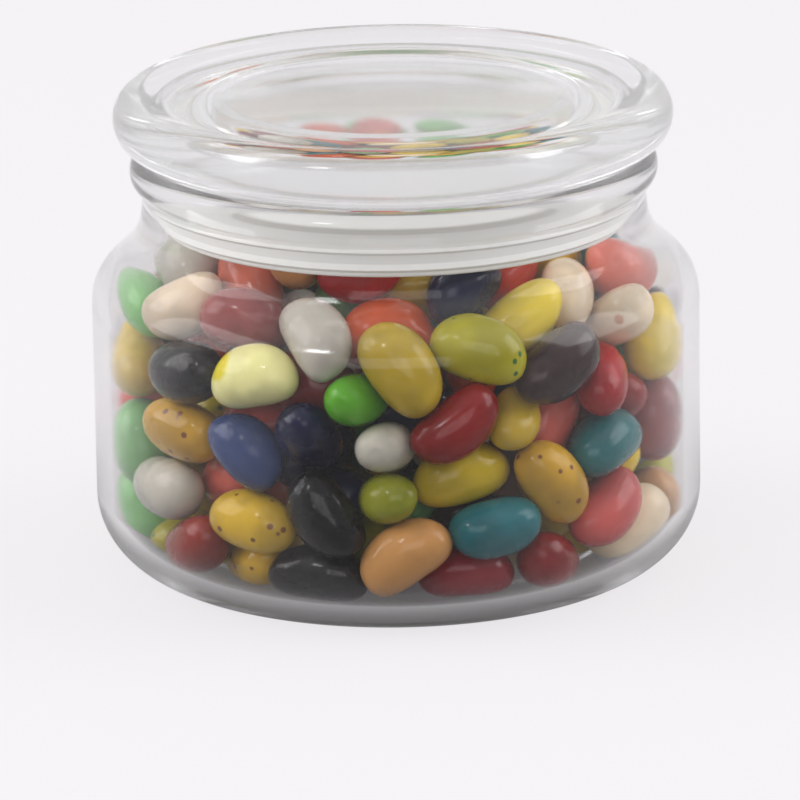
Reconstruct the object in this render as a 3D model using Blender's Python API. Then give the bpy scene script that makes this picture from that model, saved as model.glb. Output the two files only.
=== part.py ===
"""A round glass jar of jelly beans with a flat glass lid, in metres, +Z up.

The jar, its lid and the lid's seal are turned shapes about the Z axis. The beans are one heap that fills
the jar: its skin is cobbled with bean ends, and its top is uneven. The jar stands on z = 0, centred on the
origin.
"""

import math

import bmesh
import bpy
import numpy as np
from mathutils import Vector

# Clear gap kept between pieces that touch in the real jar
GAP = 0.0003

# Points that a turned outline gives each curve
SHOULDER_STEPS = 6
INNER_STEPS = 5
CORNER_STEPS = 7
LIP_STEPS = 5
RIM_STEPS = 5
FILLET_STEPS = 3

# Jar: outside
BODY_RADIUS = 0.0511
WALL = 0.0028
FOOT_RADIUS = 0.0381
FOOT_WIDTH = 0.0032
UNDERSIDE_RISE = 0.0014
CORNER_HEIGHT = 0.0128
SIDE_TOP = 0.0451
NECK_RADIUS = 0.0422
NECK_HEIGHT = 0.0640
LIP_RADIUS = 0.0442
LIP_MIDDLE = 0.0682
LIP_HALF_HEIGHT = 0.0027
LIP_ROLL = 0.0022

# Jar: inside
FLOOR_HEIGHT = 0.0032
FLOOR_DOME = 0.0005
MOUTH_RADIUS = 0.0397
MOUTH_DEPTH = 0.0105
MOUTH_EDGE_WIDTH = 0.0006
MOUTH_EDGE_DEPTH = 0.0007

# Lid, from its seat on the lip
SEAT_HEIGHT = LIP_MIDDLE + LIP_HALF_HEIGHT + GAP
LID_RADIUS = 0.0468
LID_WIDEST = 0.0060
LID_RISE = 0.0105
RIM_ROLL = 0.0038
RIM_TUCK = 0.0070
DISC_RADIUS = 0.0289
DISC_HEIGHT = 0.0098
DISC_DIP = 0.0008
GROOVE_RADIUS = 0.0310
GROOVE_HEIGHT = 0.0096
GROOVE_END = 0.0385
PLATE_UNDERSIDE = 0.0040
PLATE_FILLET = 0.0060
FLANGE_RADIUS = 0.0378
FLANGE_BORE = 0.0344
FLANGE_DEPTH = 0.0102
FLANGE_ROUNDING = 0.0009

# Seal: a soft sleeve round the flange, with fins that press on the mouth
SLEEVE_RADIUS = 0.0389
FIN_RADIUS = MOUTH_RADIUS - GAP
FIN_COUNT = 3
FIN_HALF_WIDTH = 0.0007
FIN_PITCH = 0.0034
SEAL_TOP = -0.0016
SEAL_DEPTH = 0.0118
SEAL_LEDGE = 0.0357

# Beans
BEAN_LENGTH = 0.0155
BEAN_WIDTH = 0.0104
BUMP_DEPTH = 0.0042
BUMP_SPACING = 0.0108
BUMP_CLOSENESS = 0.92
BUMP_REACH = 0.53
BUMP_TURN_SPREAD = 0.16
BUMP_HEIGHT_SPREAD = 0.0012
BUMP_TILT_SPREAD = 1.1
HEAP_TOP = 0.0565
HEAP_TOP_UNEVEN = 0.0016
HEAP_EDGE_DROP = 0.0040
HEAP_COLUMNS = 60
HEAP_ROWS = 32
BEAN_SEED = 7

# Sides of each turned shape, and how near two points are to count as one
SIDES = 40
SAME_POINT = 0.000001

# Faces that meet at less than this angle, in degrees, are shaded as one smooth surface
SMOOTH_BELOW = 35.0
HEAP_SMOOTH_BELOW = 80.0

MATERIALS = {
    "jar_glass": {"color": (0.93, 0.95, 0.94, 1.0), "roughness": 0.02, "transmission": 0.95},
    "lid_glass": {"color": (0.94, 0.95, 0.95, 1.0), "roughness": 0.02, "transmission": 0.95},
    "seal_plastic": {"color": (0.82, 0.81, 0.78, 1.0), "roughness": 0.35, "transmission": 0.3},
    "bean_shells": {"color": (0.62, 0.34, 0.16, 1.0), "roughness": 0.22, "transmission": 0.0},
}


def clear_scene():
    for item in list(bpy.data.objects):
        bpy.data.objects.remove(item, do_unlink=True)


def material(name):
    """A Principled material from the table of finishes."""
    finish = MATERIALS[name]
    mat = bpy.data.materials.new(name)
    mat.use_nodes = True
    shader = mat.node_tree.nodes["Principled BSDF"]
    shader.inputs["Base Color"].default_value = finish["color"]
    shader.inputs["Roughness"].default_value = finish["roughness"]
    shader.inputs["Metallic"].default_value = 0.0
    shader.inputs["Transmission Weight"].default_value = finish["transmission"]
    return mat


def arc(centre, half_width, half_height, start, end, steps):
    """Points (radius, height) along an elliptical arc, from start to end in degrees."""
    points = []
    for step in range(steps + 1):
        angle = math.radians(start + (end - start) * step / steps)
        radius = centre[0] + half_width * math.cos(angle)
        height = centre[1] + half_height * math.sin(angle)
        points.append((radius, height))
    return points


def s_curve(low, high, steps, low_pull=0.51, high_pull=0.65):
    """Points from low to high that start and end upright, as a shoulder does."""
    rise = high[1] - low[1]
    low_handle = (low[0], low[1] + low_pull * rise)
    high_handle = (high[0], high[1] - high_pull * rise)
    points = []
    for step in range(steps + 1):
        t = step / steps
        weights = ((1 - t) ** 3, 3 * t * (1 - t) ** 2, 3 * t * t * (1 - t), t**3)
        corners = (low, low_handle, high_handle, high)
        points.append(tuple(sum(w * c[axis] for w, c in zip(weights, corners)) for axis in (0, 1)))
    return points


def mesh_object(name, bm, mat, smooth_below=SMOOTH_BELOW):
    """An object from a bmesh, its faces outward, shaded smooth up to an angle between faces."""
    bmesh.ops.recalc_face_normals(bm, faces=bm.faces)
    mesh = bpy.data.meshes.new(name)
    bm.to_mesh(mesh)
    bm.free()
    mesh.materials.append(mat)
    mesh.shade_smooth()
    mesh.set_sharp_from_angle(angle=math.radians(smooth_below))
    item = bpy.data.objects.new(name, mesh)
    bpy.context.collection.objects.link(item)
    return item


def turned(name, outline, mat, ring=False):
    """A solid turned about Z from an outline of (radius, height) points.

    The outline's ends lie on the axis, or it closes on itself if the piece is a ring.
    """
    bm = bmesh.new()
    points = [bm.verts.new((radius, 0.0, height)) for radius, height in outline]
    joined = list(zip(points, points[1:] + points[:1])) if ring else list(zip(points, points[1:]))
    edges = [bm.edges.new(pair) for pair in joined]
    bmesh.ops.spin(
        bm,
        geom=points + edges,
        cent=(0, 0, 0),
        axis=(0, 0, 1),
        angle=math.tau,
        steps=SIDES,
        use_merge=True,
    )
    bmesh.ops.remove_doubles(bm, verts=bm.verts, dist=SAME_POINT)
    return mesh_object(name, bm, mat)


def inner_side(steps):
    """The jar's inside from the mouth down to the floor's edge, as (radius, height) points."""
    inner_radius = BODY_RADIUS - WALL
    corner_width = inner_radius - FOOT_RADIUS
    corner_height = CORNER_HEIGHT - FLOOR_HEIGHT
    mouth_bottom = SEAT_HEIGHT - MOUTH_DEPTH
    shoulder = s_curve((inner_radius, SIDE_TOP), (MOUTH_RADIUS, mouth_bottom), steps)
    corner = arc((FOOT_RADIUS, CORNER_HEIGHT), corner_width, corner_height, 0, -90, steps)
    return shoulder[::-1] + corner


def make_jar():
    lip_centre = (LIP_RADIUS - LIP_ROLL, LIP_MIDDLE)
    corner_centre = (FOOT_RADIUS, CORNER_HEIGHT)
    corner_width = BODY_RADIUS - FOOT_RADIUS
    foot_inside = FOOT_RADIUS - FOOT_WIDTH
    outline = [(0.0, UNDERSIDE_RISE), (foot_inside - UNDERSIDE_RISE, UNDERSIDE_RISE), (foot_inside, 0.0)]
    outline += arc(corner_centre, corner_width, CORNER_HEIGHT, -90, 0, CORNER_STEPS)
    outline += s_curve((BODY_RADIUS, SIDE_TOP), (NECK_RADIUS, NECK_HEIGHT), SHOULDER_STEPS)
    outline += arc(lip_centre, LIP_ROLL, LIP_HALF_HEIGHT, -60, 90, LIP_STEPS)
    lip_top = LIP_MIDDLE + LIP_HALF_HEIGHT
    outline += [(MOUTH_RADIUS + MOUTH_EDGE_WIDTH, lip_top), (MOUTH_RADIUS, lip_top - MOUTH_EDGE_DEPTH)]
    outline += inner_side(INNER_STEPS)
    outline += [(0.0, FLOOR_HEIGHT + FLOOR_DOME)]
    return turned("jar", outline, material("jar_glass"))


def make_lid():
    """The lid's top has a slightly hollow disc, with a shallow groove between its edge and the rounded rim.

    The outline is measured from the lid's seat, and runs from the middle of its top to its underside.
    """
    rim_top = (LID_RADIUS - RIM_ROLL, LID_WIDEST)
    rim_foot = (LID_RADIUS - RIM_TUCK, LID_WIDEST)
    fillet_centre = (FLANGE_BORE - PLATE_FILLET, PLATE_UNDERSIDE - PLATE_FILLET)
    outline = []
    for share in (0, 1 / 3, 2 / 3, 1):
        outline += [(share * DISC_RADIUS, DISC_HEIGHT - DISC_DIP * (1 - share**2))]
    outline += [(GROOVE_RADIUS, GROOVE_HEIGHT), (GROOVE_END, GROOVE_HEIGHT)]
    outline += arc(rim_top, RIM_ROLL, LID_RISE - LID_WIDEST, 90, 0, RIM_STEPS - 1)
    outline += arc(rim_foot, RIM_TUCK, LID_WIDEST, 0, -90, RIM_STEPS)[1:]
    outline += [(FLANGE_RADIUS + FLANGE_ROUNDING, 0.0), (FLANGE_RADIUS, -FLANGE_ROUNDING)]
    outline += [(FLANGE_RADIUS, FLANGE_ROUNDING - FLANGE_DEPTH)]
    outline += [(FLANGE_RADIUS - FLANGE_ROUNDING, -FLANGE_DEPTH)]
    outline += [(FLANGE_BORE + FLANGE_ROUNDING, -FLANGE_DEPTH)]
    outline += [(FLANGE_BORE, FLANGE_ROUNDING - FLANGE_DEPTH)]
    outline += arc(fillet_centre, PLATE_FILLET, PLATE_FILLET, 0, 90, FILLET_STEPS)
    outline += [(0.0, PLATE_UNDERSIDE)]
    lid = turned("lid", outline, material("lid_glass"))
    lid.location = (0.0, 0.0, SEAT_HEIGHT)
    return lid


def make_seal(lid):
    """The seal's sleeve hugs the flange and turns in under it."""
    sleeve_bore = FLANGE_RADIUS + GAP
    ledge_top = -FLANGE_DEPTH - GAP
    outline = [(sleeve_bore, ledge_top), (sleeve_bore, SEAL_TOP), (SLEEVE_RADIUS, SEAL_TOP)]
    for fin in range(FIN_COUNT):
        fin_height = SEAL_TOP - FIN_PITCH * (fin + 0.5)
        outline += [(SLEEVE_RADIUS, fin_height + FIN_HALF_WIDTH)]
        outline += [(FIN_RADIUS, fin_height - FIN_HALF_WIDTH / 2)]
        outline += [(SLEEVE_RADIUS, fin_height - FIN_HALF_WIDTH)]
    outline += [(SLEEVE_RADIUS, -SEAL_DEPTH), (SEAL_LEDGE, -SEAL_DEPTH), (SEAL_LEDGE, ledge_top)]
    seal = turned("lid_seal", outline, material("seal_plastic"), ring=True)
    seal.parent = lid
    return seal


def along(outline, count):
    """count points spaced evenly along an outline, from its first point to its last."""
    points = [Vector((radius, height)) for radius, height in outline]
    lengths = [0.0]
    for before, after in zip(points, points[1:]):
        lengths.append(lengths[-1] + (after - before).length)
    places = np.linspace(0.0, lengths[-1], count)
    radii = np.interp(places, lengths, [p.x for p in points])
    heights = np.interp(places, lengths, [p.y for p in points])
    return list(zip(radii, heights))


def heap_outline():
    """The heap's outline, from the middle of the jar's floor up its side to the middle of its top."""
    side = [p for p in inner_side(2 * INNER_STEPS)[::-1] if p[1] < HEAP_TOP - HEAP_EDGE_DROP]
    brim = (side[-1][0] - 0.8 * HEAP_EDGE_DROP, HEAP_TOP - 0.5 * HEAP_EDGE_DROP)
    inward = 2 * GAP
    outline = [(0.0, FLOOR_HEIGHT + FLOOR_DOME + inward), (FOOT_RADIUS, FLOOR_HEIGHT + FLOOR_DOME + inward)]
    outline += [(radius - inward, height + inward / 2) for radius, height in side[1:]]
    return outline + [brim, (SEAL_LEDGE, HEAP_TOP), (0.0, HEAP_TOP)]


def bean_places(outline, rng):
    """A bean's centre and its long direction for each bump on the heap's skin, row by row."""
    length = sum(math.dist(a, b) for a, b in zip(outline, outline[1:]))
    rows = along(outline, round(length / BUMP_SPACING) + 1)
    places = []
    for index, (radius, height) in enumerate(rows):
        count = max(1, round(math.tau * radius / (BEAN_LENGTH * BUMP_CLOSENESS)))
        before, after = rows[max(index - 1, 0)], rows[min(index + 1, len(rows) - 1)]
        for number in range(count):
            stagger = 0.5 * (index % 2) + rng.uniform(-BUMP_TURN_SPREAD, BUMP_TURN_SPREAD)
            turn = math.tau * (number + stagger) / count
            outward = Vector((math.cos(turn), math.sin(turn), 0.0))
            around = Vector((-math.sin(turn), math.cos(turn), 0.0))
            uphill = (outward * (after[0] - before[0]) + Vector((0, 0, after[1] - before[1]))).normalized()
            tilt = rng.uniform(-BUMP_TILT_SPREAD, BUMP_TILT_SPREAD)
            lift = rng.uniform(-BUMP_HEIGHT_SPREAD, BUMP_HEIGHT_SPREAD)
            centre = outward * radius + Vector((0, 0, height + lift))
            places.append((centre, around * math.cos(tilt) + uphill * math.sin(tilt)))
    return places


def bulge(point, places):
    """How far a point on the heap's skin lies up the bean under it: 1 at its middle, 0 between beans."""
    highest = 0.0
    for centre, direction in places:
        offset = point - centre
        if offset.length_squared > BEAN_LENGTH**2:
            continue
        lengthwise = offset.dot(direction)
        sideways = (offset - direction * lengthwise).length
        away = math.hypot(lengthwise / BEAN_LENGTH, sideways / BEAN_WIDTH) / BUMP_REACH
        highest = max(highest, math.sqrt(max(0.0, 1.0 - away * away)))
    return highest


def make_heap(jar):
    """The heap is a turned grid whose points sink inward between the bean ends on its skin."""
    rng = np.random.default_rng(BEAN_SEED)
    outline = heap_outline()
    places = bean_places(outline, rng)
    rows = along(outline, HEAP_ROWS + 1)
    bm = bmesh.new()
    rings = []
    for index in range(1, HEAP_ROWS):
        radius, height = rows[index]
        before, after = rows[index - 1], rows[index + 1]
        ring = []
        for column in range(HEAP_COLUMNS):
            turn = math.tau * column / HEAP_COLUMNS
            outward = Vector((math.cos(turn), math.sin(turn), 0.0))
            uphill = outward * (after[0] - before[0]) + Vector((0, 0, after[1] - before[1]))
            inward = uphill.cross(Vector((0, 0, 1)).cross(outward)).normalized()
            skin = outward * radius + Vector((0, 0, height))
            ring.append(bm.verts.new(skin + inward * BUMP_DEPTH * (1.0 - bulge(skin, places))))
        rings.append(ring)
    for lower, upper in zip(rings, rings[1:]):
        for column in range(HEAP_COLUMNS):
            nearest = (column + 1) % HEAP_COLUMNS
            bm.faces.new((lower[column], lower[nearest], upper[nearest], upper[column]))
    ends = ((rings[0], rows[0][1] + BUMP_DEPTH), (rings[-1], rows[-1][1] - HEAP_TOP_UNEVEN))
    for ring, height in ends:
        middle = bm.verts.new((0.0, 0.0, height))
        for column in range(HEAP_COLUMNS):
            bm.faces.new((ring[column], ring[(column + 1) % HEAP_COLUMNS], middle))
    heap = mesh_object("bean_heap", bm, material("bean_shells"), HEAP_SMOOTH_BELOW)
    heap.parent = jar
    return heap


def main():
    clear_scene()
    jar = make_jar()
    lid = make_lid()
    make_seal(lid)
    make_heap(jar)


main()
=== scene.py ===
"""The looks of a lidded glass jar of jelly beans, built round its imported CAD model. Metres, +Z up.

The jar, the lid and its seal are turned again with fine outlines, and some 225 jelly beans take the place of
the CAD heap: they settle in the jar as rigid clusters of balls, and each then gets its own kidney-shaped shell.
"""

import math

import bmesh
import bpy
import numpy as np
from mathutils import Matrix, Vector


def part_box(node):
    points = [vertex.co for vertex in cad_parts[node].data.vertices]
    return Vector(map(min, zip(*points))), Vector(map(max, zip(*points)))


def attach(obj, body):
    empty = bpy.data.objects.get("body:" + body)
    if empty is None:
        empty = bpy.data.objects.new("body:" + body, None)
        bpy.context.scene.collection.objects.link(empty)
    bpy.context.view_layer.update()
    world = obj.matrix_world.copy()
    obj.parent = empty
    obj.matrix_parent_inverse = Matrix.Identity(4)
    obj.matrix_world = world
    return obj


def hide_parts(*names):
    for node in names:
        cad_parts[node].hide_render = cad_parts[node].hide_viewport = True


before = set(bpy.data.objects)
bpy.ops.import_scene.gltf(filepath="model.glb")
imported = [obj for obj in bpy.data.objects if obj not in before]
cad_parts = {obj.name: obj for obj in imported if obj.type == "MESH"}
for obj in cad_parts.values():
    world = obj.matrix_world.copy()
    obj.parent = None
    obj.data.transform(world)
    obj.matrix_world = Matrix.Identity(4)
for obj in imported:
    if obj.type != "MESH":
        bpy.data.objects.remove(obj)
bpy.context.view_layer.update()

MM = 0.001

# ---------------------------------------------------------------- sizes read from the frame
JAR_LOW, JAR_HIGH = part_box("jar")
LID_LOW, LID_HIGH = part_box("lid")
SEAL_LOW, SEAL_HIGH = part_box("lid_seal")
BODY_RADIUS = JAR_HIGH.x
LIP_TOP = JAR_HIGH.z
LID_RADIUS = LID_HIGH.x
SEAT = LIP_TOP + 0.3 * MM
SEAL_RADIUS = SEAL_HIGH.x
SEAL_BOTTOM = SEAL_LOW.z

# ---------------------------------------------------------------- jar
WALL = 2.8 * MM
FOOT_RADIUS = 38.1 * MM
FOOT_WIDTH = 3.2 * MM
UNDERSIDE_RISE = 1.4 * MM
CORNER_HEIGHT = 12.8 * MM
SIDE_TOP = 45.1 * MM
NECK_RADIUS = 42.2 * MM
NECK_HEIGHT = 64.0 * MM
LIP_RADIUS = 44.2 * MM
LIP_HALF_HEIGHT = 2.7 * MM
LIP_ROLL = 2.2 * MM
LIP_MIDDLE = LIP_TOP - LIP_HALF_HEIGHT
FLOOR_HEIGHT = 3.2 * MM
FLOOR_DOME = 0.5 * MM
MOUTH_RADIUS = 39.7 * MM
MOUTH_BOTTOM = SEAT - 10.5 * MM
LOW_PULL = 0.51
HIGH_PULL = 0.65

# ---------------------------------------------------------------- lid, with heights from its seat
LID_TOP = LID_HIGH.z - SEAT
LID_WIDEST = 6.0 * MM
RIM_ROLL = 3.8 * MM
RIM_TUCK = 7.0 * MM
DISC_RADIUS = 28.9 * MM
DISC_HEIGHT = 9.8 * MM
DISC_DIP = 0.8 * MM
GROOVE_RADIUS = 31.0 * MM
GROOVE_HEIGHT = 9.6 * MM
GROOVE_END = 38.5 * MM
PLATE_UNDERSIDE = 4.0 * MM
PLATE_FILLET = 6.0 * MM
FLANGE_RADIUS = 37.8 * MM
FLANGE_BORE = 34.4 * MM
FLANGE_DEPTH = SEAT - LID_LOW.z
FLANGE_ROUNDING = 0.9 * MM

# ---------------------------------------------------------------- seal
SLEEVE_RADIUS = 38.9 * MM
SLEEVE_BORE = FLANGE_RADIUS + 0.3 * MM
SEAL_LEDGE = 35.7 * MM
SEAL_TOP = SEAL_HIGH.z
FIN_COUNT = 3
FIN_PITCH = 3.4 * MM

# ---------------------------------------------------------------- beans, in millimetres
BEAN_COUNT = 242
BEAN_LENGTH = 15.4
BEAN_WIDTH = 10.35
BEAN_THICKNESS = 9.3
BEAN_BEND = 0.55
SETTLING_STEPS = 1800
SEED = 11

SEGMENTS = 256


# ================================================================ outlines
def arc(centre, half_width, half_height, start, end, steps):
    """Points (radius, height) along an elliptical arc, from start to end in degrees."""
    points = []
    for step in range(steps + 1):
        angle = math.radians(start + (end - start) * step / steps)
        radius = centre[0] + half_width * math.cos(angle)
        height = centre[1] + half_height * math.sin(angle)
        points.append((radius, height))
    return points


def s_curve(low, high, steps):
    """Points from low to high that start and end upright, as a shoulder does."""
    rise = high[1] - low[1]
    handles = (low, (low[0], low[1] + LOW_PULL * rise), (high[0], high[1] - HIGH_PULL * rise), high)
    points = []
    for step in range(steps + 1):
        t = step / steps
        weights = ((1 - t) ** 3, 3 * t * (1 - t) ** 2, 3 * t * t * (1 - t), t**3)
        points.append(tuple(sum(w * c[axis] for w, c in zip(weights, handles)) for axis in (0, 1)))
    return points


def rounded(corners, steps=8):
    """An outline through (radius, height, rounding) corners, each rounded by an arc of that radius."""
    points = []
    for index, (radius, height, rounding) in enumerate(corners):
        corner = Vector((radius, height))
        if rounding == 0:
            points.append((radius, height))
            continue
        before = Vector(corners[index - 1][:2]) - corner
        after = Vector(corners[(index + 1) % len(corners)][:2]) - corner
        half = before.angle(after) / 2
        reach = rounding / math.tan(half)
        start = corner + before.normalized() * reach
        end = corner + after.normalized() * reach
        middle = (before.normalized() + after.normalized()).normalized()
        centre = corner + middle * rounding / math.sin(half)
        first = math.atan2(*(start - centre).yx)
        turn = (math.atan2(*(end - centre).yx) - first + math.pi) % math.tau - math.pi
        for step in range(steps + 1):
            angle = first + turn * step / steps
            points.append((centre.x + rounding * math.cos(angle), centre.y + rounding * math.sin(angle)))
    return points


def inner_side(steps):
    """The jar's inside, from the floor's edge up to the mouth's lower end."""
    inner = BODY_RADIUS - WALL
    width, height = inner - FOOT_RADIUS, CORNER_HEIGHT - FLOOR_HEIGHT
    corner = arc((FOOT_RADIUS, CORNER_HEIGHT), width, height, -90, 0, steps)
    return corner + s_curve((inner, SIDE_TOP), (MOUTH_RADIUS, MOUTH_BOTTOM), steps)


def jar_outline():
    foot = FOOT_RADIUS - FOOT_WIDTH
    underside = [
        (0.0, UNDERSIDE_RISE, 0),
        (foot - UNDERSIDE_RISE, UNDERSIDE_RISE, 2 * MM),
        (foot, 0.0, 1 * MM),
        (FOOT_RADIUS, 0.0, 0),
    ]
    outline = rounded(underside)[:-1]
    outline += arc((FOOT_RADIUS, CORNER_HEIGHT), BODY_RADIUS - FOOT_RADIUS, CORNER_HEIGHT, -90, 0, 28)
    outline += s_curve((BODY_RADIUS, SIDE_TOP), (NECK_RADIUS, NECK_HEIGHT), 28)
    lip_centre = (LIP_RADIUS - LIP_ROLL, LIP_MIDDLE)
    outline += arc(lip_centre, LIP_ROLL, LIP_HALF_HEIGHT, -62, 90, 18)
    outline += arc((MOUTH_RADIUS + 0.8 * MM, LIP_TOP - 0.8 * MM), 0.8 * MM, 0.8 * MM, 90, 180, 6)
    outline += inner_side(28)[::-1]
    outline += [(0.0, FLOOR_HEIGHT + FLOOR_DOME)]
    return outline


def lid_outline():
    rim_top = (LID_RADIUS - RIM_ROLL, LID_WIDEST)
    rim_foot = (LID_RADIUS - RIM_TUCK, LID_WIDEST)
    disc = [DISC_RADIUS * step / 12 for step in range(12)]
    disc = [(radius, DISC_HEIGHT - DISC_DIP * (1 - (radius / DISC_RADIUS) ** 2)) for radius in disc]
    top = [
        (disc[-1][0], disc[-1][1], 0),
        (DISC_RADIUS, DISC_HEIGHT, 3 * MM),
        (GROOVE_RADIUS, GROOVE_HEIGHT, 3 * MM),
        (GROOVE_END, GROOVE_HEIGHT, 6 * MM),
        (LID_RADIUS - RIM_ROLL - 1.5 * MM, LID_TOP, 8 * MM),
        (LID_RADIUS - RIM_ROLL, LID_TOP, 0),
    ]
    underside = [
        (rim_foot[0], 0.0, 0),
        (FLANGE_RADIUS, 0.0, 0.6 * MM),
        (FLANGE_RADIUS, -FLANGE_DEPTH, 1.2 * MM),
        (FLANGE_BORE, -FLANGE_DEPTH, 1.2 * MM),
        (FLANGE_BORE, PLATE_UNDERSIDE, PLATE_FILLET),
        (0.0, PLATE_UNDERSIDE, 0),
    ]
    outline = disc[:-1] + rounded(top, 12)[:-1]
    outline += arc(rim_top, RIM_ROLL, LID_TOP - LID_WIDEST, 90, 0, 16)
    outline += arc(rim_foot, RIM_TUCK, LID_WIDEST, 0, -90, 20)[1:]
    outline += rounded(underside, 12)[1:]
    return [(radius, SEAT + height) for radius, height in outline]


def seal_outline():
    """The seal's sleeve hugs the flange, turns in under it and carries soft fins that meet the mouth."""
    ledge_top = LID_LOW.z - 0.3 * MM
    corners = [(SLEEVE_BORE, ledge_top, 0.2 * MM), (SLEEVE_BORE, SEAL_TOP, 0.3 * MM), (SLEEVE_RADIUS, SEAL_TOP, 0.3 * MM)]
    for fin in range(FIN_COUNT):
        height = SEAL_TOP - FIN_PITCH * (fin + 0.5)
        corners += [(SLEEVE_RADIUS, height + 0.7 * MM, 0.4 * MM)]
        corners += [(SEAL_RADIUS, height - 0.25 * MM, 0.2 * MM)]
        corners += [(SLEEVE_RADIUS, height - 0.8 * MM, 0.2 * MM)]
    corners += [(SLEEVE_RADIUS, SEAL_BOTTOM, 0.6 * MM), (SEAL_LEDGE, SEAL_BOTTOM, 0.4 * MM), (SEAL_LEDGE, ledge_top, 0.2 * MM)]
    return rounded(corners, 6)


def turned(name, outline, mat, ring=False):
    """A solid turned about Z. Its outline's ends lie on the axis, or it closes on itself if it is a ring."""
    bm = bmesh.new()
    points = [bm.verts.new((radius, 0.0, height)) for radius, height in outline]
    pairs = list(zip(points, points[1:] + points[:1])) if ring else list(zip(points, points[1:]))
    edges = [bm.edges.new(pair) for pair in pairs]
    bmesh.ops.spin(bm, geom=points + edges, cent=(0, 0, 0), axis=(0, 0, 1), angle=math.tau, steps=SEGMENTS, use_merge=True)
    bmesh.ops.remove_doubles(bm, verts=bm.verts, dist=1e-7)
    bmesh.ops.recalc_face_normals(bm, faces=bm.faces)
    mesh = bpy.data.meshes.new(name)
    bm.to_mesh(mesh)
    bm.free()
    mesh.materials.append(mat)
    mesh.shade_smooth()
    item = bpy.data.objects.new(name, mesh)
    bpy.context.collection.objects.link(item)
    return item


# ================================================================ materials
GLASS_IOR = 1.47
GLASS_MIRROR = (0.985, 0.985, 0.985, 1.0)


class Nodes:
    """A short way to write the nodes of a material or a world."""

    def __init__(self, owner, shader="Principled BSDF", output="Material Output"):
        owner.use_nodes = True
        self.owner = owner
        self.tree = owner.node_tree
        self.shader = self.tree.nodes[shader]
        self.output = self.tree.nodes[output]

    def add(self, kind, **settings):
        node = self.tree.nodes.new("ShaderNode" + kind)
        for name, value in settings.items():
            setattr(node, name, value)
        return node

    def link(self, source, target):
        self.tree.links.new(source, target)

    def place(self):
        return self.add("TexCoord").outputs["Object"]

    def calculate(self, operation, first, second):
        node = self.add("Math", operation=operation)
        for socket, value in zip(node.inputs, (first, second)):
            if isinstance(value, float):
                socket.default_value = value
            else:
                self.link(value, socket)
        return node.outputs["Value"]

    def noise(self, scale, detail=2.0, roughness=0.5):
        node = self.add("TexNoise")
        node.inputs["Scale"].default_value = scale
        node.inputs["Detail"].default_value = detail
        node.inputs["Roughness"].default_value = roughness
        self.link(self.place(), node.inputs["Vector"])
        return node.outputs["Fac"]

    def span(self, source, low, high, out_low, out_high, smooth=False):
        node = self.add("MapRange", interpolation_type="SMOOTHSTEP" if smooth else "LINEAR")
        for name, value in (("From Min", low), ("From Max", high), ("To Min", out_low), ("To Max", out_high)):
            node.inputs[name].default_value = value
        self.link(source, node.inputs["Value"])
        return node.outputs["Result"]

    def mix(self, factor, first, second):
        node = self.add("Mix", data_type="RGBA")
        self.link(factor, node.inputs["Factor"])
        for socket, value in ((node.inputs[6], first), (node.inputs[7], second)):
            if isinstance(value, tuple):
                socket.default_value = value
            else:
                self.link(value, socket)
        return node.outputs[2]

    def bump(self, height, strength, distance):
        node = self.add("Bump")
        node.inputs["Strength"].default_value = strength
        node.inputs["Distance"].default_value = distance
        self.link(height, node.inputs["Height"])
        return node.outputs["Normal"]


def linear(red, green, blue):
    """A colour given as 0-255 screen values, in the linear light that shaders work in."""

    def channel(value):
        value /= 255
        return value / 12.92 if value <= 0.04045 else ((value + 0.055) / 1.055) ** 2.4

    return (channel(red), channel(green), channel(blue), 1.0)


def clear_glass(name, tint, roughness, wobble):
    """Pressed glass with a faint waviness. Lamps and soft light pass it straight, so that they reach the beans."""
    nodes = Nodes(bpy.data.materials.new(name))
    nodes.tree.nodes.remove(nodes.shader)
    waves = nodes.bump(nodes.noise(90.0, 1.0), wobble, 0.2 * MM)
    share = nodes.add("Fresnel")
    passing = nodes.add("BsdfRefraction")
    mirror = nodes.add("BsdfGlossy")
    for node in (share, passing, mirror):
        nodes.link(waves, node.inputs["Normal"])
    for node in (share, passing):
        node.inputs["IOR"].default_value = GLASS_IOR
    for node, colour in ((passing, tint), (mirror, GLASS_MIRROR)):
        node.inputs["Color"].default_value = colour
        node.inputs["Roughness"].default_value = roughness
    glass = nodes.add("MixShader")
    nodes.link(share.outputs["Fac"], glass.inputs["Fac"])
    nodes.link(passing.outputs["BSDF"], glass.inputs[1])
    nodes.link(mirror.outputs["BSDF"], glass.inputs[2])
    open_glass = nodes.add("BsdfTransparent")
    open_glass.inputs["Color"].default_value = (0.96, 0.97, 0.965, 1.0)
    rays = nodes.add("LightPath").outputs
    mixed = nodes.add("MixShader")
    either = nodes.calculate("MAXIMUM", rays["Is Shadow Ray"], rays["Is Diffuse Ray"])
    nodes.link(either, mixed.inputs["Fac"])
    nodes.link(glass.outputs["Shader"], mixed.inputs[1])
    nodes.link(open_glass.outputs["BSDF"], mixed.inputs[2])
    nodes.link(mixed.outputs["Shader"], nodes.output.inputs["Surface"])
    return nodes.owner


def seal_plastic():
    nodes = Nodes(bpy.data.materials.new("seal_plastic"))
    cloud = nodes.noise(60.0, 3.0)
    nodes.link(nodes.mix(cloud, linear(250, 248, 245), linear(246, 243, 239)), nodes.shader.inputs["Base Color"])
    nodes.link(nodes.span(cloud, 0.3, 0.7, 0.3, 0.42), nodes.shader.inputs["Roughness"])
    nodes.shader.inputs["Transmission Weight"].default_value = 0.06
    nodes.shader.inputs["IOR"].default_value = 1.35
    nodes.link(nodes.bump(nodes.noise(400.0), 0.1, 0.1 * MM), nodes.shader.inputs["Normal"])
    return nodes.owner


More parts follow.
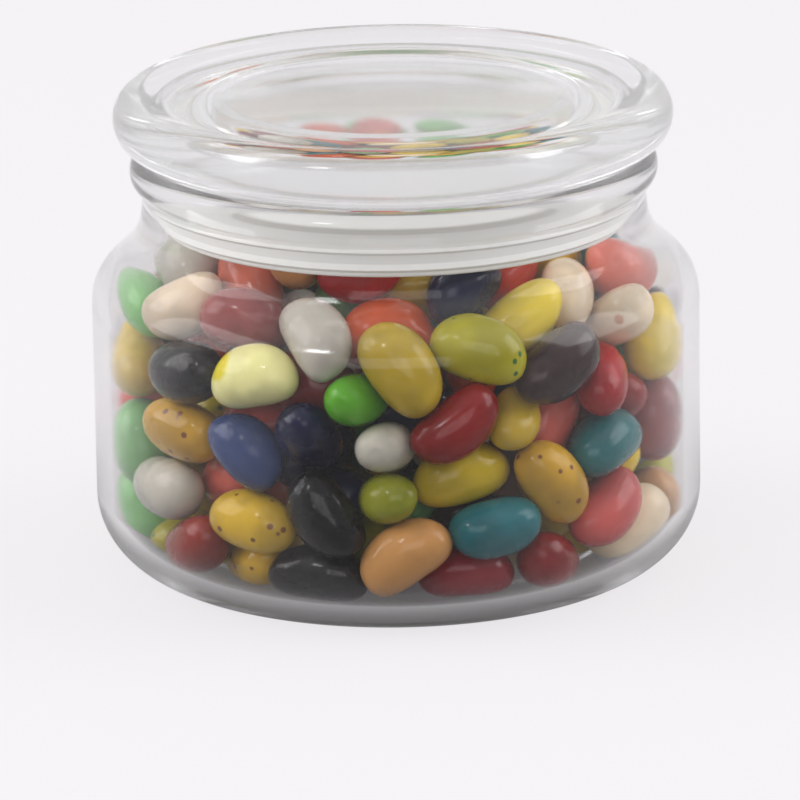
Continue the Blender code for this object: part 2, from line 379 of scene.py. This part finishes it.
def bean_shell(kind):
    """A glazed sugar shell: two tints that drift into each other, and specks where the kind has them."""
    look = KINDS[kind]
    nodes = Nodes(bpy.data.materials.new("shell_" + kind))
    main = linear(*look["colour"])
    drift = linear(*look.get("drift", [0.86 * value for value in look["colour"]]))
    cloud = nodes.span(nodes.noise(110.0, 2.0), 0.38, 0.66, 0.0, 1.0, smooth=True)
    colour = nodes.mix(cloud, main, drift)
    for speck, size, scale in look.get("specks", ()):
        cells = nodes.add("TexVoronoi")
        cells.inputs["Scale"].default_value = scale
        cells.inputs["Randomness"].default_value = 1.0
        nodes.link(nodes.place(), cells.inputs["Vector"])
        inside = nodes.span(cells.outputs["Distance"], size, 1.6 * size, 1.0, 0.0, smooth=True)
        colour = nodes.mix(inside, colour, linear(*speck))
    chalk = nodes.span(nodes.noise(140.0, 5.0, 0.65), 0.5, 0.75, 0.0, 0.014)
    colour = nodes.mix(chalk, colour, linear(235, 232, 228))
    tint = nodes.add("Attribute", attribute_name="tint")
    hue = nodes.add("HueSaturation")
    nodes.link(nodes.span(tint.outputs["Fac"], 0.0, 1.0, 0.9, 1.1), hue.inputs["Value"])
    nodes.link(nodes.span(tint.outputs["Fac"], 0.0, 1.0, 0.492, 0.508), hue.inputs["Hue"])
    nodes.link(colour, hue.inputs["Color"])
    nodes.link(hue.outputs["Color"], nodes.shader.inputs["Base Color"])
    nodes.link(nodes.span(nodes.noise(300.0), 0.35, 0.65, 0.2, 0.32), nodes.shader.inputs["Roughness"])
    nodes.shader.inputs["Specular IOR Level"].default_value = 0.15
    nodes.shader.inputs["Coat Weight"].default_value = 0.55
    nodes.shader.inputs["Coat Roughness"].default_value = 0.05
    nodes.link(nodes.bump(nodes.noise(260.0, 2.5), 0.22, 0.1 * MM), nodes.shader.inputs["Normal"])
    return nodes.owner


KINDS = {
    "red": {"colour": (182, 26, 14), "share": 8},
    "cherry": {"colour": (140, 18, 12), "share": 7},
    "orange": {"colour": (226, 88, 6), "share": 7},
    "amber": {"colour": (214, 166, 40), "share": 6, "specks": [((122, 72, 32), 0.13, 320.0)]},
    "lemon": {"colour": (232, 198, 46), "share": 8},
    "pale_yellow": {"colour": (240, 230, 160), "share": 3, "specks": [((222, 200, 30), 0.2, 110.0)]},
    "olive": {"colour": (190, 158, 30), "share": 6},
    "moss": {"colour": (138, 138, 26), "share": 2},
    "lime": {"colour": (180, 170, 8), "share": 6, "specks": [((50, 96, 30), 0.11, 310.0)]},
    "green": {"colour": (92, 168, 30), "share": 5},
    "mint": {"colour": (124, 192, 108), "share": 6},
    "teal": {"colour": (28, 108, 114), "share": 5},
    "navy": {"colour": (14, 20, 58), "share": 7},
    "slate": {"colour": (58, 72, 120), "share": 4},
    "liquorice": {"colour": (12, 10, 12), "share": 8},
    "cocoa": {"colour": (50, 26, 26), "share": 5},
    "white": {"colour": (196, 188, 175), "share": 5},
    "cream": {"colour": (246, 222, 190), "share": 5, "specks": [((190, 120, 60), 0.08, 110.0)]},
    "peach": {"colour": (212, 152, 88), "share": 4},
    "rose": {"colour": (216, 102, 86), "share": 6},
    "plum": {"colour": (150, 66, 68), "share": 5},
}

# Beans against the front of the glass, placed one by one: kind, millimetres across and up, millimetres in from
# touching the glass, lean of the long way along the glass and its turn inward, in degrees, and size
FRONT_BEANS = [
    ("mint", -41, 50, 0, 0, 40, 1.0),
    ("cream", -34.5, 49, 0, 30, 80, 0.93),
    ("white", -35.5, 54.3, 0, 0, 0, 1.0),
    ("rose", -25, 53, 6, -25, 0, 1.0),
    ("plum", -25, 50, 0, -35, 0, 1.0),
    ("liquorice", -34, 40, 0, -5, 10, 1.0),
    ("pale_yellow", -23, 41.5, 0, 22, 0, 1.0),
    ("lemon", -43, 37, 0, -70, 0, 1.0),
    ("mint", -42, 25, 0, -65, 0, 1.0),
    ("amber", -35, 29.5, 0, -8, 8, 1.0),
    ("slate", -21.6, 29, 0, -60, 0, 0.98),
    ("white", -34.9, 17.3, 0, 50, 0, 1.0),
    ("mint", -42, 10, 0, -55, 0, 1.0),
    ("slate", -43, 17, 4, 0, 0, 1.0),
    ("rose", -28, 21, 7, 30, 0, 1.0),
    ("cherry", -32.3, 11.5, 0, -35, 0, 0.97),
    ("amber", -22.4, 16.3, 0, 14, 0, 0.98),
    ("amber", -25.5, 8.5, 1, -5, 10, 1.0),
    ("navy", -15.3, 32, 0.5, 60, 0, 1.0),
    ("green", -4.7, 40, 1, -60, 45, 0.93),
    ("white", -2.6, 32.3, 3, -60, 60, 0.9),
    ("liquorice", -13.6, 18.8, 0, -30, 0, 1.0),
    ("liquorice", -16, 9, 0, 0, 0, 1.04),
    ("cherry", 8.0, 37.2, 0, 45, 0, 1.0),
    ("olive", 8.2, 25.2, 2, -14, 0, 1.05),
    ("moss", -2.5, 22, 1, -60, 50, 0.94),
    ("peach", 0, 15.6, 0, 28, 0, 1.06),
    ("teal", 15, 17.5, 0, 25, 0, 0.98),
    ("cherry", 13.2, 7.5, 0, 3, 0, 1.0),
    ("lemon", 20.5, 32.3, 4, 60, 30, 0.86),
    ("amber", 23.3, 22.3, 0, -72, 0, 1.02),
    ("rose", 26, 32, 6, 60, 0, 1.0),
    ("teal", 33, 27, 1, 15, 0, 1.0),
    ("rose", 32.5, 18, 0, 50, 0, 1.03),
    ("plum", 42, 28, 0, 85, 0, 1.0),
    ("cream", 37.5, 8.0, 0, 45, 0, 1.0),
    ("lime", 43, 12, 1, 70, 0, 1.0),
    ("slate", 43, 19, 4, 0, 0, 1.0),
    ("mint", 43.5, 26, 4, 90, 0, 1.0),
    ("cherry", 25, 9, 0, -3, 0, 1.0),
    ("navy", 9.5, 53, 6, 10, 20, 0.95),
    ("lemon", 18.4, 49.6, 5, 5, 0, 0.97),
    ("cream", 29, 49.6, 8, 25, 40, 0.93),
    ("rose", 39.6, 50.8, 0, -20, 10, 1.0),
    ("cream", 38.5, 48, 0, -60, 40, 1.0),
    ("lemon", 42, 40, 0, 30, 0, 1.0),
    ("red", 32, 36.8, 2, 30, 30, 0.94),
    ("cocoa", 25.0, 42.0, 0, 0, 0, 1.0),
    ("lime", 12.8, 47.5, 0, 8, 0, 1.0),
    ("red", 19, 53, 12, 10, 0, 1.0),
    ("white", -14.2, 50.3, 0, -42, 0, 1.0),
    ("red", -5.5, 53, 8.5, 0, 0, 1.0),
    ("orange", -2.8, 48.8, 5.5, -8, 0, 1.1),
    ("olive", 3, 54, 10, 0, 0, 1.0),
    ("olive", 0.2, 43.4, 0, -38, 0, 1.08),
    ("plum", -13, 40.5, 8, 0, 0, 1.0),
    ("navy", 1, 35.5, 9, 0, 0, 1.0),
    ("peach", -16, 54, 8, 10, 0, 1.0),
]


# ================================================================ settling
def length_of(vectors):
    return np.sqrt((vectors * vectors).sum(-1))


class Wall:
    """The space that the beans fill: the jar's inside up to the seal, then the hollow of the lid."""

    def __init__(self):
        plate = SEAT + PLATE_UNDERSIDE
        outline = [(0.0, FLOOR_HEIGHT + FLOOR_DOME)] + inner_side(12)
        outline += [(MOUTH_RADIUS, SEAL_BOTTOM), (FLANGE_BORE, SEAL_BOTTOM), (FLANGE_BORE, plate - PLATE_FILLET)]
        outline += [(FLANGE_BORE - PLATE_FILLET, plate), (0.0, plate)]
        outline = np.array(outline) / MM
        self.starts = outline[:-1]
        self.runs = np.diff(outline, axis=0)

    def press(self, balls, radii):
        """How deep each ball lies in the wall, below 0 if it is clear of it, and the way out."""
        reach = np.hypot(balls[..., 0], balls[..., 1])
        offsets = np.stack([reach, balls[..., 2]], -1)[..., None, :] - self.starts
        shares = (offsets * self.runs).sum(-1) / (self.runs * self.runs).sum(-1)
        away = offsets - np.clip(shares, 0, 1)[..., None] * self.runs
        distances = length_of(away)
        nearest = distances.argmin(-1)[..., None]
        distance = np.take_along_axis(distances, nearest, -1)[..., 0]
        side = self.runs[:, 0] * offsets[..., 1] - self.runs[:, 1] * offsets[..., 0]
        inside = np.where(np.take_along_axis(side, nearest, -1)[..., 0] >= 0, 1.0, -1.0)
        away = np.take_along_axis(away, nearest[..., None], -2)[..., 0, :]
        away *= (inside / np.maximum(distance, 1e-6))[..., None]
        outward = balls[..., :2] / np.maximum(reach, 1e-6)[..., None]
        way = np.concatenate([outward * away[..., :1], away[..., 1:]], -1)
        return radii - inside * distance, way

    def radius_at(self, height):
        """The inside radius at a height on the jar's side."""
        ends = self.starts + self.runs
        side = slice(1, 26)
        return float(np.interp(height, ends[side, 1], ends[side, 0]))


class Heap:
    """Jelly beans as rigid clusters of six balls each, which push each other and the wall apart."""

    ALONG = np.array([-1, -1, 0, 0, 1, 1])
    ACROSS = np.array([-1, 1, -1, 1, -1, 1])

    def __init__(self, wall, centres, frames, sizes, bends):
        length, width, thickness = sizes.T
        station = 0.385 * length / 2
        self.wall = wall
        self.count = len(centres)
        self.centres = centres
        self.frames = frames
        self.local = np.zeros((self.count, 6, 3))
        self.local[..., 0] = self.ALONG * station[:, None]
        self.local[..., 1] = self.ACROSS * 0.46 * (width - thickness)[:, None]
        self.local[..., 1] += bends[:, None] * (0.4 - np.abs(self.ALONG))
        ends = np.minimum(length / 2 - station, 0.485 * thickness)
        self.radii = np.where(self.ALONG == 0, 0.4925 * thickness[:, None], ends[:, None])
        squares = sizes * sizes
        self.ease = 20 / (squares.sum(1, keepdims=True) - squares)

    def find_pairs(self, reach):
        gaps = self.centres[:, None] - self.centres
        self.first, self.second = np.nonzero(np.triu((gaps * gaps).sum(-1) < reach * reach, 1))

    def touches(self, balls, radii):
        """Every place where two beans overlap: both beans, the way apart, the place and the depth."""
        gaps = balls[self.first][:, :, None] - balls[self.second][:, None]
        reaches = radii[self.first][:, :, None] + radii[self.second][:, None]
        pair, one, other = np.nonzero((gaps * gaps).sum(-1) < reaches * reaches)
        gap = gaps[pair, one, other]
        distance = np.maximum(length_of(gap), 1e-6)
        way = gap / distance[:, None]
        depth = reaches[pair, one, other] - distance
        first, second = self.first[pair], self.second[pair]
        place = balls[second, other] + way * (radii[second, other] - depth / 2)[:, None]
        return first, second, way, place, depth

    def relax(self, scale, pull):
        """Moves every bean by its share of each overlap, and down by pull."""
        balls = self.centres[:, None] + scale * np.einsum("nbk,nkj->nbj", self.local, self.frames)
        radii = scale * self.radii
        first, second, way, place, depth = self.touches(balls, radii)
        wall_depth, wall_way = self.wall.press(balls, radii)
        bean, ball = np.nonzero(wall_depth > 0)
        wall_way = wall_way[bean, ball]
        wall_place = balls[bean, ball] - wall_way * radii[bean, ball][:, None]
        owner = np.concatenate([first, second, bean])
        way = np.concatenate([way, -way, wall_way])
        twist = np.cross(np.concatenate([place, place, wall_place]) - self.centres[owner], way)
        axes = self.frames[owner]
        spin = np.einsum("nk,njk->nj", twist, axes) * self.ease[owner]
        spin = np.einsum("nj,njk->nk", spin, axes)
        give = 1 + (twist * spin).sum(1)
        pairs = len(first)
        shared = depth / (give[:pairs] + give[pairs : 2 * pairs])
        share = np.concatenate([shared, shared, wall_depth[bean, ball] / give[2 * pairs :]])[:, None]
        share *= 1.6 / np.maximum(np.bincount(owner, minlength=self.count), 1)[owner][:, None]
        self.shift(self.total(owner, way * share) - (0, 0, pull), self.total(owner, spin * share))

    def total(self, owner, values):
        sums = [np.bincount(owner, weights=values[:, axis], minlength=self.count) for axis in range(3)]
        return np.stack(sums, 1)

    def shift(self, move, turn):
        """Moves and turns the beans. Rounding keeps every machine's heap the same."""
        angle = length_of(turn)[:, None]
        axis = (turn / np.maximum(angle, 1e-9))[:, None]
        angle = np.minimum(angle, 0.25)[:, None]
        old = self.frames
        new = old * np.cos(angle) + np.cross(axis, old) * np.sin(angle)
        new += axis * (old * axis).sum(-1, keepdims=True) * (1 - np.cos(angle))
        self.frames = np.round(square(new[:, 0], new[:, 1]), 7)
        self.centres = np.round(self.centres + move, 6)


def square(long_way, wide_way):
    """Frames of three square unit axes (long, wide, thin) from two rough ones."""
    long_way = long_way / length_of(long_way)[:, None]
    wide_way = wide_way - (wide_way * long_way).sum(1, keepdims=True) * long_way
    wide_way = wide_way / length_of(wide_way)[:, None]
    return np.stack([long_way, wide_way, np.cross(long_way, wide_way)], 1)


def front_places(wall):
    """Centres and frames of the beans placed one by one against the glass."""
    centres, longs, wides = [], [], []
    for index, (_, across, up, inset, lean, inward, size) in enumerate(FRONT_BEANS):
        reach = wall.radius_at(up) - size * BEAN_THICKNESS / 2 - inset
        across = max(-reach, min(reach, across))
        centre = np.array([across, -math.sqrt(reach * reach - across * across), up])
        facing = centre * (1, 1, 0) / reach
        around = np.array([-facing[1], facing[0], 0.0])
        lean, inward = math.radians(lean), math.radians(inward)
        along = around * math.cos(lean) + np.array([0, 0, math.sin(lean)])
        centres.append(centre)
        longs.append(along * math.cos(inward) - facing * math.sin(inward))
        wides.append(np.cross(facing, along) * (-1) ** index)
    return np.array(centres), square(np.array(longs), np.array(wides))


def spread(wall, taken, count, rng):
    """count more places in the jar, each as far as can be from those before it."""
    tries = rng.uniform((-47, -47, 6), (47, 47, 60), (30000, 3))
    depth, _ = wall.press(tries, np.zeros(len(tries)))
    tries = tries[depth < -5]
    room = np.full(len(tries), np.inf)
    for place in taken:
        room = np.minimum(room, ((tries - place) ** 2).sum(1))
    places = []
    for _ in range(count):
        best = tries[room.argmax()]
        places.append(best)
        room = np.minimum(room, ((tries - best) ** 2).sum(1))
    return np.array(places)


def settle():
    """The heap at rest, with each bean's kind and sizes."""
    rng = np.random.default_rng(SEED)
    wall = Wall()
    held, held_frames = front_places(wall)
    loose = spread(wall, held, BEAN_COUNT - len(held), rng)
    loose_frames = square(rng.normal(size=loose.shape), rng.normal(size=loose.shape))
    names = list(KINDS)
    shares = np.array([KINDS[name]["share"] for name in names], float)
    kinds = [row[0] for row in FRONT_BEANS]
    kinds += [names[pick] for pick in rng.choice(len(names), len(loose), p=shares / shares.sum())]
    overall = np.concatenate([[row[6] for row in FRONT_BEANS], rng.normal(1, 0.03, len(loose))])
    stretch = rng.normal(1, 0.025, (BEAN_COUNT, 3))
    sizes = overall[:, None] * stretch * (BEAN_LENGTH, BEAN_WIDTH, BEAN_THICKNESS)
    bends = BEAN_BEND * rng.uniform(0.5, 1.4, BEAN_COUNT)
    heap = Heap(wall, np.concatenate([held, loose]), np.concatenate([held_frames, loose_frames]), sizes, bends)
    for step in range(SETTLING_STEPS):
        done = step / SETTLING_STEPS
        if step % 8 == 0:
            heap.find_pairs(BEAN_LENGTH + 3)
        pull = 0.006 * min(1.0, max(0.0, (0.82 - done) / 0.12))
        heap.relax(min(1.0, 0.72 + 0.28 * done / 0.35), pull)
        hold = 0.3 if done < 0.6 else 0.3 * max(0.0, 1 - (done - 0.6) / 0.26)
        number = len(held)
        move = np.zeros_like(heap.centres)
        move[:number] = hold * (held - heap.centres[:number])
        turn = np.zeros_like(heap.centres)
        turn[:number] = hold / 2 * np.cross(heap.frames[:number], held_frames).sum(1)
        heap.shift(move, turn)
    return heap, kinds, sizes, bends


# ================================================================ bean shells
RINGS = 22
SPOKES = 32
SHELL_GAP = 0.06        # what a shell keeps from the glass, in millimetres


def shell_points(sizes, bends, rng):
    """Points of every bean's shell in its own frame: rings from tip to tip along a bent, waisted, lumpy oval."""
    polar = np.linspace(0, math.pi, RINGS + 1)[1:-1]
    around = np.linspace(0, math.tau, SPOKES, endpoint=False)
    polar = np.concatenate([[0.0], np.repeat(polar, SPOKES), [math.pi]])
    around = np.concatenate([[0.0], np.tile(around, RINGS - 1), [0.0]])
    count = len(sizes)
    fullness = rng.uniform(2.06, 2.3, (count, 1))
    waist = rng.uniform(0.0, 0.04, (count, 1))
    along = np.sign(np.cos(polar)) * np.abs(np.cos(polar)) ** (2 / fullness)
    girth = np.abs(np.sin(polar)) ** (2 / fullness) * (1 - waist * (1 - along * along) ** 2)
    taper = 1 + rng.uniform(-0.035, 0.035, (count, 1)) * along
    unit = np.stack([along, girth * taper * np.cos(around), girth * taper * np.sin(around)], -1)
    lumps = np.zeros(unit.shape[:2])
    for _ in range(5):
        way = rng.normal(size=(count, 1, 3)) * 2.4
        phase = rng.uniform(0, math.tau, (count, 1))
        lumps += rng.uniform(0.002, 0.008, (count, 1)) * np.sin((unit * way).sum(-1) + phase)
    points = unit * (1 + lumps[..., None]) * sizes[:, None] / 2
    points[..., 1] += bends[:, None] * (0.4 - 1.9 * along * along) * 0.9
    return points


def shell_faces():
    """Faces of one shell: a fan at each tip and rows of quads between."""
    last = 1 + (RINGS - 1) * SPOKES
    faces = []
    for spoke in range(SPOKES):
        after = (spoke + 1) % SPOKES
        faces.append((0, 1 + spoke, 1 + after))
        for ring in range(RINGS - 2):
            low, high = 1 + ring * SPOKES, 1 + (ring + 1) * SPOKES
            faces.append((low + spoke, high + spoke, high + after, low + after))
        base = last - SPOKES
        faces.append((base + spoke, last, base + after))
    return faces


def make_beans():
    """One piece for each kind of bean, of all its beans' shells."""
    heap, kinds, sizes, bends = settle()
    rng = np.random.default_rng(SEED + 1)
    local = shell_points(sizes, bends, rng)
    points = heap.centres[:, None] + np.einsum("nvk,nkj->nvj", local, heap.frames)
    depth, way = heap.wall.press(points, np.full(points.shape[:2], SHELL_GAP))
    points += way * np.maximum(depth, 0.0)[..., None]
    tints = rng.uniform(0, 1, len(kinds))
    one = shell_faces()
    for kind in KINDS:
        members = [index for index, name in enumerate(kinds) if name == kind]
        size = points.shape[1]
        mesh = bpy.data.meshes.new("beans_" + kind)
        faces = [tuple(number * size + corner for corner in face) for number in range(len(members)) for face in one]
        mesh.from_pydata((points[members].reshape(-1, 3) * MM).tolist(), [], faces)
        tint = mesh.attributes.new("tint", "FLOAT", "POINT")
        tint.data.foreach_set("value", np.repeat(tints[members], size).astype(np.float32))
        mesh.materials.append(bean_shell(kind))
        mesh.shade_smooth()
        mesh.update()
        piece = bpy.data.objects.new("beans_" + kind, mesh)
        bpy.context.collection.objects.link(piece)
        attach(piece, "root")
    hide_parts("bean_heap")
    return heap


# ================================================================ glass and seal
def make_glass():
    jar = turned("jar_body", jar_outline(), clear_glass("jar_glass", (0.93, 0.925, 0.93, 1.0), 0.08, 0.05))
    lid = turned("lid_body", lid_outline(), clear_glass("lid_glass", (0.935, 0.935, 0.94, 1.0), 0.11, 0.08))
    seal = turned("seal_sleeve", seal_outline(), seal_plastic(), ring=True)
    for piece, node, slot in ((jar, "jar", "jar_glass"), (lid, "lid", "lid_glass"), (seal, "lid_seal", "seal_plastic")):
        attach(piece, "root")
        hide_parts(node)


# ================================================================ studio
VIEW_PITCH = 16.8
VIEW_DISTANCE = 1.180
VIEW_WIDTH = 135.2 * MM
VIEW_SHIFT = 0.45 * MM
VIEW_HEIGHT = 0.33
VIEW_ROLL = -0.9
FLOOR_GLOW = 0.803
# Shares of the floor's glow kept in its painted shade: near and beyond the jar's front, and where the jar mirrors it
FLOOR_PAINTED_SHADE_NEAR = 0.05
FLOOR_PAINTED_SHADE_BEYOND = 0.2
FLOOR_MIRRORED_PAINTED_SHADE = 0.28
# Shares of the floor's glow kept, as painted shade, in the light it bounces near the jar and far from it
FLOOR_BOUNCE_PAINTED_SHADE_NEAR = 0.1
FLOOR_BOUNCE_PAINTED_SHADE_FAR = 0.8
WORLD_FRONT = 0.32
WORLD_BACK = 0.86


def make_camera():
    """Looks at the jar from in front and a little above, held very slightly askew."""
    camera = bpy.data.objects.new("camera", bpy.data.cameras.new("camera"))
    bpy.context.collection.objects.link(camera)
    target = Vector((VIEW_SHIFT, 0.0, VIEW_HEIGHT * LID_HIGH.z))
    pitch = math.radians(VIEW_PITCH)
    camera.location = target + VIEW_DISTANCE * Vector((0.0, -math.cos(pitch), math.sin(pitch)))
    down = Matrix.Rotation(math.pi / 2 - pitch, 3, "X")
    askew = Matrix.Rotation(math.radians(VIEW_ROLL), 3, "Z")
    camera.rotation_euler = (down @ askew).to_euler()
    camera.data.sensor_width = 36.0
    camera.data.lens = 36.0 * VIEW_DISTANCE / VIEW_WIDTH
    camera.data.clip_end = 20.0
    bpy.context.scene.camera = camera


def make_lamp(name, place, size, power, mirrored=False, target=(0.0, 0.0, 0.04)):
    lamp = bpy.data.lights.new(name, "AREA")
    lamp.shape = "RECTANGLE"
    lamp.size, lamp.size_y = size
    lamp.energy = power
    item = bpy.data.objects.new(name, lamp)
    bpy.context.collection.objects.link(item)
    item.location = place
    item.rotation_euler = (Vector(target) - Vector(place)).to_track_quat("-Z", "Y").to_euler()
    item.visible_glossy = mirrored
    return item


def make_floor():
    """A plain pale floor, even to the camera. Painted shade darkens it where the jar mirrors it or shows it through the
    glass.
    """
    nodes = Nodes(bpy.data.materials.new("floor_paper"))
    rays = nodes.add("LightPath").outputs
    split = nodes.add("SeparateXYZ")
    nodes.link(nodes.place(), split.inputs["Vector"])
    ahead = nodes.calculate("MULTIPLY", split.outputs["Y"], -1.0)
    aside = nodes.calculate("MULTIPLY", nodes.calculate("ABSOLUTE", split.outputs["X"], 0.0), 0.9)
    # Painted shade, as if things lay about just before the jar: a wedge ahead of it, darkest nearest, taken off the
    # glow that the jar mirrors or shows through its glass
    front = nodes.span(nodes.calculate("SUBTRACT", ahead, aside), 0.025, 0.065, 0.0, 1.0, smooth=True)
    shade = nodes.span(ahead, 0.12, 0.3, 1.0 - FLOOR_PAINTED_SHADE_NEAR, 1.0 - FLOOR_PAINTED_SHADE_BEYOND, smooth=True)
    painted_front_shade = nodes.calculate("MULTIPLY", front, shade)
    distance = nodes.add("VectorMath", operation="LENGTH")
    nodes.link(nodes.place(), distance.inputs[0])
    distance = distance.outputs["Value"]
    # Painted contact shadow under the jar and painted shade just ahead of it, only where the floor is seen through the
    # glass
    under = nodes.span(distance, 0.036, 0.064, 0.88, 0.0, smooth=True)
    half = nodes.calculate("MAXIMUM", under, nodes.span(ahead, 0.0, 0.04, 0.0, 0.5, smooth=True))
    painted_shade_seen_through = nodes.calculate("MAXIMUM", half, nodes.calculate("MULTIPLY", painted_front_shade, 0.88))
    through = nodes.calculate("MULTIPLY", rays["Is Transmission Ray"], painted_shade_seen_through)
    straight = nodes.calculate("SUBTRACT", rays["Is Glossy Ray"], rays["Is Transmission Ray"])
    # Painted shade in the floor that the glass mirrors: all of it ahead of the jar, deeper in the wedge
    painted_mirrored_shade = nodes.calculate("MAXIMUM", painted_front_shade, nodes.span(ahead, -0.1, 0.0, 0.0, 1.0 - FLOOR_MIRRORED_PAINTED_SHADE, smooth=True))
    mirrored = nodes.calculate("MAXIMUM", through, nodes.calculate("MULTIPLY", straight, painted_mirrored_shade))
    # Painted shade in the light the floor bounces, deepest near the jar
    painted_bounce_shade = nodes.span(distance, 0.1, 0.3, 1.0 - FLOOR_BOUNCE_PAINTED_SHADE_NEAR, 1.0 - FLOOR_BOUNCE_PAINTED_SHADE_FAR, smooth=True)
    bounced = nodes.calculate("MULTIPLY", rays["Is Diffuse Ray"], painted_bounce_shade)
    # All the painted shade together, taken off the floor's glow
    painted_shade = nodes.calculate("MAXIMUM", mirrored, bounced)
    nodes.link(nodes.span(painted_shade, 0.0, 1.0, FLOOR_GLOW, 0.0), nodes.shader.inputs["Emission Strength"])
    nodes.shader.inputs["Base Color"].default_value = (0.15, 0.15, 0.15, 1.0)
    nodes.shader.inputs["Roughness"].default_value = 0.9
    nodes.shader.inputs["Specular IOR Level"].default_value = 0.0
    nodes.shader.inputs["Emission Color"].default_value = linear(245, 242, 245)
    bm = bmesh.new()
    bmesh.ops.create_circle(bm, cap_ends=True, segments=96, radius=4.0)
    mesh = bpy.data.meshes.new("floor")
    bm.to_mesh(mesh)
    bm.free()
    mesh.materials.append(nodes.owner)
    floor = bpy.data.objects.new("floor", mesh)
    floor.location = (0.0, 0.0, -0.1 * MM)
    bpy.context.collection.objects.link(floor)


def make_world():
    """A pale studio, brighter overhead and behind than on the camera's side."""
    world = bpy.data.worlds.new("studio")
    nodes = Nodes(world, "Background", "World Output")
    split = nodes.add("SeparateXYZ")
    nodes.link(nodes.add("TexCoord").outputs["Generated"], split.inputs["Vector"])
    behind = nodes.calculate("ADD", split.outputs["Y"], nodes.calculate("MULTIPLY", split.outputs["Z"], 0.9))
    strength = nodes.span(behind, -0.7, 0.5, WORLD_FRONT, WORLD_BACK, smooth=True)
    nodes.shader.inputs["Color"].default_value = (1.0, 0.99, 1.0, 1.0)
    nodes.link(strength, nodes.shader.inputs["Strength"])
    bpy.context.scene.world = world


def make_studio():
    make_camera()
    make_floor()
    make_world()
    make_lamp("front_left_softbox", (-0.514, -0.762, 0.82), (0.16, 0.16), 0.9, mirrored=True)
    make_lamp("front_softbox", (0.0, -1.3, 0.5), (1.0, 0.6), 3.4)
    make_lamp("right_softbox", (1.05, -0.04, 0.63), (0.9, 0.8), 7.0)
    make_lamp("left_softbox", (-1.05, -0.04, 0.63), (0.9, 0.8), 8.0)
    scene = bpy.context.scene
    scene.view_settings.view_transform = "Standard"
    scene.cycles.max_bounces = 32
    scene.cycles.transmission_bounces = 32
    scene.cycles.transparent_max_bounces = 24
    scene.cycles.glossy_bounces = 32


make_studio()
make_glass()
make_beans()
